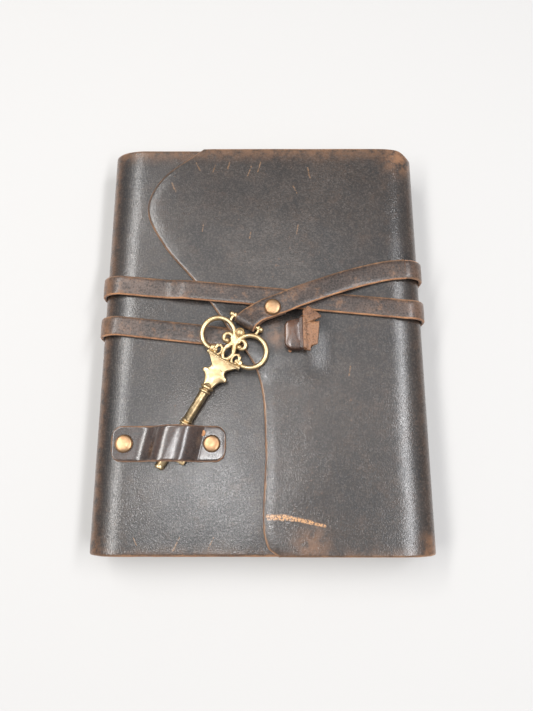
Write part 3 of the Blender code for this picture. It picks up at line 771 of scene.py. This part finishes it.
def make_strap_end():
    """The last run and the loop round the key's bar, folded back under itself to the rivet."""
    route = ((FOLD_X, 33.2, 0.0), (62.0, 32.4, 0.0), (51.0, 29.8, 0.5), (40.0, 26.2, 2.2))
    route += ((30.0, 22.5, 3.4), (21.0, 19.0, 4.3), (15.6, 16.8, 4.9), (10.4, 14.5, 4.9))
    points = even_curve([Vector((x, y, ON_FLAP + rise)) for x, y, rise in route], 1.4)
    reach = loop_line()[2]
    radius = 1.0 + 0.35 + LOOP_LAYER / 2
    path = [(q, LOOP_HIGH) for q in (1.0, 2.5, 4.0, 6.0, 8.0)]
    path += [(10.0, LOOP_HIGH + 0.2), (reach - 4.0, 31.7)]
    path += arc((reach, KEY_BAR.z), radius, 110, -110, 20)
    path += [(reach - 4.0, 28.6)] + [(q, LOOP_LOW) for q in (10.0, 8.0, 6.0, 4.0, 0.5)]
    normals = [UP] * len(points)
    ways = [None] * len(points)
    for i, (q, z) in enumerate(path):
        before, after = path[max(i - 1, 0)], path[min(i + 1, len(path) - 1)]
        rise, run = after[1] - before[1], after[0] - before[0]
        point, across = loop_place(q)
        points.append(Vector((*point, z)))
        ahead = (loop_place(q + 0.1)[0] - loop_place(q)[0]).normalized()
        normals.append(Vector((ahead.x * -rise, ahead.y * -rise, run)).normalized())
        ways.append(Vector((*across, 0)))
    strap = ribbon("wrap_strap_end", points, normals, STRAP_WIDTH + 0.6, LOOP_LAYER, STRAP_MATS, ways)
    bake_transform(strap)
    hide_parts("strap_end", "strap_key_loop")


def rounded(outline, share=0.3, steps=3):
    """The outline with each corner rounded."""
    points = []
    for i, p in enumerate(outline):
        here, before, after = Vector(p), Vector(outline[i - 1]), Vector(outline[(i + 1) % len(outline)])
        a, b = here.lerp(before, share), here.lerp(after, share)
        for k in range(steps + 1):
            t = k / steps
            q = a * (1 - t) ** 2 + here * 2 * t * (1 - t) + b * t * t
            points.append((q.x, q.y))
    return points


def soft_box(outline, low, high, crown):
    """A pillow-like solid over a flat outline: it bulges at its sides and is crowned on top."""
    corners, rings, steps = [], 4, 6
    for i, point in enumerate(outline):
        before, after = Vector(outline[i - 1]), Vector(outline[(i + 1) % len(outline)])
        here = Vector(point)
        reach = min((before - here).length, (after - here).length) * 0.35
        a, b = here + (before - here).normalized() * reach, here + (after - here).normalized() * reach
        for k in range(steps + 1):
            t = k / steps
            corners.append(a * (1 - t) ** 2 + here * 2 * t * (1 - t) + b * t * t)
    middle = sum(corners, Vector((0, 0))) / len(corners)
    levels = []
    for k in range(rings + 1):
        a = math.pi / 2 * k / rings
        levels.append((1 - 0.10 * (1 - math.sin(a)), low + (high - low) * 0.45 * math.sin(a)))
    for k in range(1, rings + 1):
        a = math.pi / 2 * k / rings
        levels.append((1 - 0.12 * (1 - math.cos(a)), high - (high - low) * 0.55 * (1 - math.sin(a))))
    for inset in (0.7, 0.45, 0.2):
        levels.append((inset, high + crown * (1 - inset)))
    verts = []
    for scale, z in levels:
        for c in corners:
            p = middle + (c - middle) * scale
            verts.append(Vector((p.x, p.y, z)))
    return verts, skin(len(levels), len(corners))


def join(name, shapes, materials, sharp=40.0):
    """One object from (verts, faces, material index) shapes."""
    verts, faces, indices = [], [], []
    for shape_verts, shape_faces, index in shapes:
        shift = len(verts)
        verts += shape_verts
        faces += [tuple(i + shift for i in face) for face in shape_faces]
        indices += [index] * len(shape_faces)
    return finish_mesh(name, verts, faces, materials, indices, None, sharp)


def slab(outline, low, high, lift, tilt):
    """A flat flap of leather over an outline, which leans, with softened edges."""
    verts, count = [], len(outline)
    middle = sum((Vector(p) for p in outline), Vector((0, 0))) / count
    levels = ((0.97, low), (1.0, low + 0.25), (1.0, high - 0.3), (0.96, high), (0.5, high + lift))
    for scale, z in levels:
        for p in outline:
            q = middle + (Vector(p) - middle) * scale
            lean = (q - middle).x * tilt[0] + (q - middle).y * tilt[1]
            verts.append(Vector((q.x, q.y, z + lean)))
    return verts, skin(len(levels), count)


def make_knot():
    """The strap's folded start: a smooth wrap, a standing fold across it and a flat raw end folded back."""
    low, high = box("strap_knot")
    bottom, top = low[2], high[2]
    under = [(17.0, -8.0), (25.0, -6.8), (25.8, -1.0), (25.8, 5.8), (21.0, 9.6), (17.5, 8.0)]
    pad = [(10.4, -6.6), (12.8, -9.0), (19.6, -9.1), (18.4, 6.4), (17.0, 6.8), (11.6, 5.2), (10.4, 3.2)]
    shapes = [(*soft_box(under, bottom, bottom + 3.0, 0.1), 1)]
    shapes.append((*soft_box(pad, bottom, bottom + 4.4, 0.9), 0))
    lower = [(20.2, -9.0), (22.6, -9.4), (22.9, -7.0), (26.2, -6.2), (27.2, 5.4), (24.2, 4.4), (20.4, 6.0)]
    shapes.append((*slab(rounded(lower, 0.06, 2), bottom + 2.8, bottom + 4.3, 0.0, (-0.10, 0.02)), 1))
    upper = [(19.6, 3.4), (23.8, 4.9), (28.0, 7.0), (27.8, 8.0), (21.6, 12.6), (19.0, 9.8)]
    shapes.append((*slab(rounded(upper, 0.06, 2), bottom + 3.2, bottom + 4.9, 0.1, (-0.08, -0.04)), 1))
    for left, right, height, tone in ((17.7, 19.1, 5.0, 0), (19.2, 20.5, 5.5, 1)):
        fold = [(left, -8.9), (right + 0.6, -9.2), (right - 0.2, 8.2), (left - 0.3, 7.2)]
        shapes.append((*soft_box(fold, bottom + 0.6, bottom + height, 0.1), tone))
    knot = join("strap_knot_folds", shapes, [MATS["knot"], MATS["tan"]])
    ridge = knot.modifiers.new("smooth", "SUBSURF")
    ridge.levels = ridge.render_levels = 1
    assert max(v.co.z for v in knot.data.vertices) < top * MM + 0.002
    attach(knot, "flap")
    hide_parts("strap_knot")


# Rivets


def turned(profile, centre=(0, 0, 0), steps=40, matrix=None):
    """A round solid about +Z from (radius, height) pairs."""
    verts = []
    for r, z in profile:
        for x, y in arc((0, 0), r, 0, 360 - 360 / steps, steps - 1):
            verts.append(Vector((x, y, z)))
    move = Matrix.Translation(centre) @ (matrix or Matrix.Identity(4))
    return [move @ v for v in verts], skin(len(profile), steps)


RIVETS = [(f"strap_rivet_{part}", "strap_tip") for part in ("cap", "base")]
for part in ("cap", "base"):
    RIVETS += [(f"holder_rivet_{part}_{side}", "front_cover") for side in ("left", "right")]


def make_rivets():
    for node, body in RIVETS:
        low, high = box(node)
        radius, x, y = (high[0] - low[0]) / 2, (high[0] + low[0]) / 2, (high[1] + low[1]) / 2
        if "cap" in node:
            base = high[2] - 1.7
            profile = [(1.3, low[2]), (1.3, base), (radius - 0.5, base - 0.1), (radius - 0.15, base + 0.05)]
            profile += [(radius, base + 0.3), (radius - 0.1, base + 0.55), (radius - 0.35, base + 0.75)]
            for i in range(1, 9):
                a = math.pi / 2 * i / 8
                profile.append(((radius - 0.35) * math.cos(a * 0.97), base + 0.75 + 0.85 * math.sin(a)))
        else:
            profile = [(0.9, low[2] + 0.45), (1.4, low[2] + 0.35), (1.8, low[2] + 0.1), (2.2, low[2])]
            profile += [(radius - 0.4, low[2] + 0.05), (radius, low[2] + 0.4), (radius - 0.1, high[2])]
        rivet = join(f"{node}_turned", [(*turned(profile, (x, y, 0)), 0)], [MATS["rivet"]], 60)
        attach(rivet, body)
        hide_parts(node)


# The key holder


def make_holder():
    """A smooth leather loop, moulded over the key's shaft with soft slanting ridges."""
    low, high = HOLDER_LOW, HOLDER_HIGH
    flat = low[2] + LEATHER
    centre_y = (low[1] + high[1]) / 2
    half, corner = (high[1] - low[1]) / 2, 4.7
    arch = ((-57.5, 0.0), (-54.0, 0.5), (-51.0, 2.1), (-48.3, 4.7), (-45.5, 6.3), (-41.0, 6.8))
    arch += ((-36.5, 6.6), (-33.6, 5.4), (-31.0, 3.0), (-28.9, 0.8), (-27.4, 0.0))
    profile = ((low[0], 0.0),) + arch + ((high[0], 0.0),)
    columns, rows = 110, 30
    outer, outs, edges = [], [], []
    for r in range(rows + 1):
        v = -1 + 2 * r / rows
        row, ways, gaps = [], [], []
        for c in range(columns + 1):
            x = low[0] + (high[0] - low[0]) * c / columns
            inset = min(x - low[0], high[0] - x)
            wide = half
            if inset < corner:
                wide += math.sqrt(max(corner**2 - (corner - inset) ** 2, 0.0)) - corner
            y = v * wide

            def height(u, side=y):
                lift = max(curve_through(profile, min(max(u - side * 0.22, low[0]), high[0])), 0.0)
                ridge = math.exp(-(((u + 41.5 - side * 0.45) / 2.0) ** 2))
                ridge -= 0.6 * math.exp(-(((u + 35.5 - side * 0.5) / 1.6) ** 2))
                ridge += 0.5 * math.exp(-(((u + 32.0 - side * 0.35) / 1.3) ** 2))
                return flat + lift + 0.07 * ridge * smooth(lift / 3)

            z = height(x)
            slope = (height(x + 0.2) - height(x - 0.2)) / 0.4
            row.append(Vector((x, centre_y + y, z)))
            ways.append(Vector((-slope, 0, 1)).normalized())
            gaps.append(min(wide - abs(y), inset + 0.01))
        outer.append(row)
        outs.append(ways)
        edges.append(gaps)
    mats = [MATS["holder"], MATS["raw"], MATS["flesh"]]
    holder = sheet("key_holder_loop", outer, outs, LEATHER, edges, mats)
    spare = turned([(1.45, flat - 0.5), (1.45, flat + 0.55), (1.0, flat + 0.65)], (-27.6, -47.2, 0), 20)
    hole = join("key_holder_spare_hole", [(*spare, 0)], [MATS["raw"]])
    for piece in (holder, hole):
        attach(piece, "front_cover")
        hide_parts("key_holder")


# The key


def tube(points, radius, closed=False, sides=12):
    """A round rod along points in the key's own frame; radius may be a function of its share of the way."""
    verts, faces, count = [], [], len(points)
    for i, point in enumerate(points):
        before = points[i - 1] if closed or i else point
        after = points[(i + 1) % count] if closed or i < count - 1 else point
        along = (after - before).normalized()
        across = UP.cross(along).normalized() if abs(along.z) < 0.9 else Vector((1, 0, 0))
        up = along.cross(across)
        size = radius(i / (count - 1)) if callable(radius) else radius
        for j in range(sides):
            a = 2 * math.pi * j / sides
            verts.append(point + across * size * math.cos(a) + up * size * math.sin(a))
    for i in range(count if closed else count - 1):
        for j in range(sides):
            k, m = (j + 1) % sides, (i + 1) % count
            faces.append((i * sides + j, i * sides + k, m * sides + k, m * sides + j))
    if not closed:
        faces.append(tuple(reversed(range(sides))))
        faces.append(tuple(range((count - 1) * sides, count * sides)))
    return verts, faces


def circle(centre, radius, start=0, end=360, steps=48, stretch=1.0):
    flat = arc((0, 0), radius, start, end, steps)
    return [Vector((centre[0] + x, centre[1] + y * stretch, 0)) for x, y in flat]


def ball(centre, radius):
    angles = [math.radians(a) for a in range(-85, 86, 17)]
    profile = [(radius * math.cos(a), radius * math.sin(a)) for a in angles]
    return turned(profile, centre, 20)


def cast_plate(outline, half, crown=0.3):
    """A cast plate over a symmetric outline, rounded at its rim and crowned on both faces."""
    count = len(outline)
    middle = sum((Vector(p) for p in outline), Vector((0, 0))) / count
    verts = []
    levels = [(0.35, -half - crown), (0.86, -half), (0.97, -half * 0.75), (1.0, 0.0)]
    levels += [(0.97, half * 0.75), (0.86, half), (0.35, half + crown)]
    for scale, z in levels:
        for p in outline:
            q = middle + (Vector(p) - middle) * scale
            verts.append(Vector((q.x, q.y, z)))
    return verts, skin(len(levels), count)


def on_side(side, places):
    return [Vector((side * x, y, 0)) for x, y in places]


def mirrored(half):
    return half + [(-x, y) for x, y in reversed(half)]


def bow_shapes():
    """The key's bow: a bar, a ringed boss, two rings that curl inwards and scrolls between them."""
    bar = [Vector((x, 0, 0)) for x in (-7.6, -4, 0, 4, 7.6)]
    yield tube(bar, 1.0, False, 16)
    boss = [(2.4, -1.4), (2.5, 0), (2.4, 1.1), (2.1, 1.4), (1.75, 1.15), (1.5, 1.5), (0.3, 1.75)]
    yield turned(boss, (0, -6.1, 0), 36)
    yield tube(circle((0, -6.1), 1.75), 0.28, True, 8)
    for side in (-1, 1):
        yield ball((side * 7.9, 0, 0), 1.35)
        yield ball((side * 6.3, 0.5, 0), 1.1)
        yield tube(on_side(side, ((6.9, 0), (7.1, -1.6), (6.9, -3.4), (7.4, -4.4))), 0.8)
        start, end = (215, -118) if side > 0 else (-35, 298)
        sweep = circle((side * 8.7, -11.6), 7.75, start, end, 72)
        yield tube(sweep, lambda t: 1.25 - 0.25 * abs(2 * t - 1) ** 3, False, 14)
        curl = []
        for i in range(22):
            t = i / 21
            a = math.radians(205 - 300 * t)
            r = 3.0 - 1.5 * t
            curl.append(Vector((side * (3.7 + r * math.cos(a)), -11.2 + r * math.sin(a), 0)))
        yield tube(curl, lambda t: 1.12 - 0.15 * t, False, 10)
        yield ball((side * 3.4, -12.4, 0), 1.35)
        scroll = [(1.0, -8.0), (2.0, -9.0), (1.9, -10.4), (0.9, -11.6), (0.3, -13.0)]
        yield tube(even_curve(on_side(side, scroll), 0.5), 0.95, False, 10)
    yield cast_plate(rounded(mirrored([(1.2, -7.8), (1.5, -10.0), (1.0, -13.4)])), 0.9, 0.2)


def crown_base_y(x):
    """The arc under the crown, which bows down at its middle."""
    return -20.9 - 0.6 * (1 - (x / 8.6) ** 2)


def crown_shapes():
    """The crown between the rings: three pierced loops and square tips over a beaded arc."""
    yield tube(circle((0, -16.6), 2.35, 0, 352.5, 47, 1.65), 0.95, True, 12)
    yield ball((0, -12.6, 0), 1.0)
    for side in (-1, 1):
        yield tube(circle((side * 4.6, -18.2), 1.6, 0, 348, 29, 1.4), 0.68, True, 10)
        yield ball((side * 4.9, -15.7, 0), 0.8)
        tip = [(side * x, y) for x, y in ((6.6, -16.9), (8.6, -17.6), (8.9, -19.9), (6.8, -20.4))]
        yield cast_plate(rounded(tip), 1.2, 0.2)
        yield tube(on_side(side, ((6.1, -16.0), (6.4, -17.2), (6.9, -18.6))), 0.7, False, 8)
    places = [-8.6 + 17.2 * i / 24 for i in range(25)]
    base = [Vector((x, crown_base_y(x), 0.25)) for x in places]
    yield tube(base, 1.15, False, 12)
    for i in range(15):
        x = -7.7 + 1.1 * i
        yield ball((x, crown_base_y(x), 1.3), 0.42)
        yield ball((x, crown_base_y(x), -0.8), 0.42)


def shank_shapes():
    """The shield below the crown, the collared shaft and the bit."""
    half = [(8.3, -20.8), (7.0, -22.2), (5.0, -23.6), (4.0, -25.2), (3.9, -26.8), (5.0, -27.9), (6.4, -28.6)]
    half += [(6.6, -30.0), (5.0, -30.7), (4.0, -31.6), (3.1, -33.4), (2.5, -35.4), (2.3, -36.6)]
    yield cast_plate(rounded(mirrored(half), 0.35, 3), 1.25, 0.35)
    profile = [(1.3, 33.8), (2.1, 35.0)]
    for place, radius, width in ((36.2, 3.15, 0.75), (38.3, 2.85, 0.6), (54.0, 2.7, 0.4), (55.4, 3.05, 0.6)):
        profile += [(SHAFT_RADIUS, place - width - 0.15), (radius * 0.93, place - width * 0.75)]
        profile += [(radius, place - width * 0.3), (radius, place + width * 0.3)]
        profile += [(radius * 0.93, place + width * 0.75), (SHAFT_RADIUS, place + width + 0.15)]
    profile += [(SHAFT_RADIUS, 76.6), (2.0, 77.0), (2.0, 77.3), (2.2, 77.6)]
    profile += [(2.2, KEY_LENGTH - 0.5), (1.7, KEY_LENGTH)]
    yield turned(profile, (0, 0, 0), 40, Matrix.Rotation(math.radians(90), 4, "X"))
    bit = [(1.0, -66.3), (9.3, -66.3), (9.3, -68.3), (7.5, -68.3), (7.5, -70.0), (9.3, -70.0)]
    bit += [(9.3, -72.3), (1.0, -72.3)]
    yield cast_plate(rounded(bit, 0.12, 2), 0.8, 0.1)


def make_key():
    turn = Matrix.Rotation(math.radians(KEY_TURN), 4, "Z") @ Matrix.Rotation(math.radians(KEY_TILT), 4, "X")
    place = Matrix.Translation(KEY_BAR) @ turn
    shapes = [*bow_shapes(), *crown_shapes(), *shank_shapes()]
    placed = [([place @ v for v in verts], faces, 0) for verts, faces in shapes]
    key = join("key_casting", placed, [MATS["brass"]], 55)
    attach(key, "key")
    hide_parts("key")


# The text block


def make_pages():
    """Each signature is a nest of folded sheets, with its leaves a hair apart at the fore edge."""
    folios = 6
    for number in range(1, 6):
        low, high = box(f"signature_{number}")
        half, middle = (high[2] - low[2]) / 2, (high[2] + low[2]) / 2
        pitch = half / folios
        shapes = []
        for k in range(folios):
            outer, inner = half - k * pitch, half - (k + 1) * pitch + pitch * 0.22
            creep = 0.25 * noise.noise(Vector((number * 3.1, k * 1.7, 0)))
            right = high[0] - 0.15 * (folios - k) / folios + creep - 0.25
            centre = (low[0] + half, middle)
            path = [(right, middle + outer)] + arc(centre, outer, 90, 270, 10) + [(right, middle - outer)]
            path += [(right, middle - inner)] + arc(centre, inner, 270, 90, 10) + [(right, middle + inner)]
            ends = [0.2 * noise.noise(Vector((number, k, end))) for end in (2.0, 7.0)]
            count, verts = len(path), []
            for y in (low[1] + 0.2 + ends[0], high[1] - 0.2 + ends[1]):
                verts += [Vector((x, y, z)) for x, z in path]
            faces = [(j, (j + 1) % count, (j + 1) % count + count, j + count) for j in range(count)]
            for end in (0, count):
                for j in range(count // 2 - 1):
                    faces.append((end + j, end + j + 1, end + count - 2 - j, end + count - 1 - j))
            shapes.append((verts, faces, 0))
        pages = join(f"pages_{number}", shapes, [MATS["paper"]], 30)
        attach(pages, "turned_pages" if number > 3 else "book")
        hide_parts(f"signature_{number}")
        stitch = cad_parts[f"sewing_thread_{number}"]
        stitch.data.materials.clear()
        stitch.data.materials.append(MATS["thread"])


# The studio


def area_light(name, place, aim, size, power, colour=(1.0, 1.0, 1.0)):
    light = bpy.data.lights.new(name, "AREA")
    light.shape = "RECTANGLE"
    light.size, light.size_y = size
    light.energy = power
    light.color = colour
    ob = bpy.data.objects.new(name, light)
    ob.location = place
    ob.rotation_euler = (Vector(aim) - Vector(place)).to_track_quat("-Z", "Y").to_euler()
    bpy.context.scene.collection.objects.link(ob)


def make_studio():
    bpy.ops.mesh.primitive_plane_add(size=6.0, location=(0, 0, -0.0004))
    floor = bpy.context.object
    floor.name = "floor"
    n = Nodes("floor")
    floor.data.materials.append(n.set(Base_Color=(0.52, 0.51, 0.50, 1.0), Roughness=0.85))
    world = bpy.data.worlds.new("studio")
    world.use_nodes = True
    world.node_tree.nodes["Background"].inputs["Color"].default_value = (0.95, 0.97, 1.0, 1.0)
    world.node_tree.nodes["Background"].inputs["Strength"].default_value = 0.34
    bpy.context.scene.world = world
    bpy.context.scene.view_settings.view_transform = "Standard"
    area_light("window", (-0.62, 0.15, 0.95), (0, 0, 0), (1.3, 0.17), 11.0, (1.0, 0.99, 0.97))
    area_light("side", (0.60, -0.10, 0.98), (0, 0, 0), (1.2, 0.16), 11.0, (0.97, 0.98, 1.0))
    area_light("softbox", (0.0, 0.33, 1.2), (0, 0, 0), (0.5, 0.6), 2.0)
    area_light("ceiling", (-0.133, -0.089, 1.0), (-0.026, -0.073, 0), (0.16, 0.13), 2.0)


def make_camera():
    data = bpy.data.cameras.new("camera")
    data.lens, data.sensor_width = 27.04, 36.0
    data.clip_start = 0.01
    camera = bpy.data.objects.new("camera", data)
    camera.location = (0.002, -0.0687, 0.2735)
    camera.rotation_euler = (math.radians(13.2), 0, 0)
    bpy.context.scene.collection.objects.link(camera)
    bpy.context.scene.camera = camera


def main():
    make_back()
    make_front()
    make_flap()
    make_strap_start()
    make_strap_middle()
    make_strap_turn_upper()
    make_strap_backs()
    make_strap_end()
    make_knot()
    make_rivets()
    make_holder()
    make_key()
    make_pages()
    make_studio()
    make_camera()


main()
